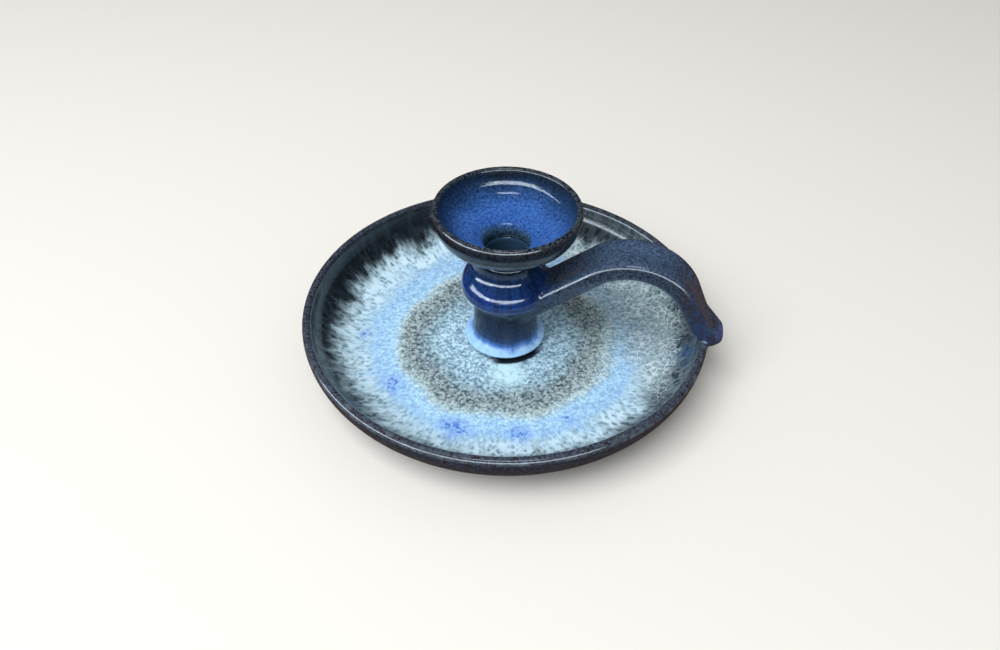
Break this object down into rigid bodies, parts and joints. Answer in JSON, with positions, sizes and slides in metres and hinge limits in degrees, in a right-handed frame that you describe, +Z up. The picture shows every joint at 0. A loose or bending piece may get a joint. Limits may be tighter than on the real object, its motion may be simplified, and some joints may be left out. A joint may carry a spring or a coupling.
{
  "type": "chamberstick",
  "caption": "Low glazed stoneware chamberstick: round saucer, short bulbed stem with a candle socket and drip cup, and an arched strap handle forming a finger loop.",
  "frame": {"origin": "centre of the foot ring's resting face, on the wheel axis of the dish and stem", "axes": "+Z up along the candle socket, +X out along the handle"},
  "size_m": [0.206, 0.2, 0.0874],
  "materials": {
    "glazed_dish": "satin blue glaze breaking to brown and white",
    "glazed_stem": "glossy cobalt glaze",
    "glazed_cup": "glossy cobalt glaze, brown at the rim",
    "glazed_handle": "satin slate-blue glaze",
    "slip": "bare fired slip"
  },
  "bodies": {
    "root": {"dish": "glazed_dish", "stem_slip": "slip", "stem": "glazed_stem", "cup_slip": "slip", "drip_cup": "glazed_cup", "handle": "glazed_handle", "root_slip": "glazed_handle", "tail_slip": "glazed_handle"}
  },
  "joints": []
}
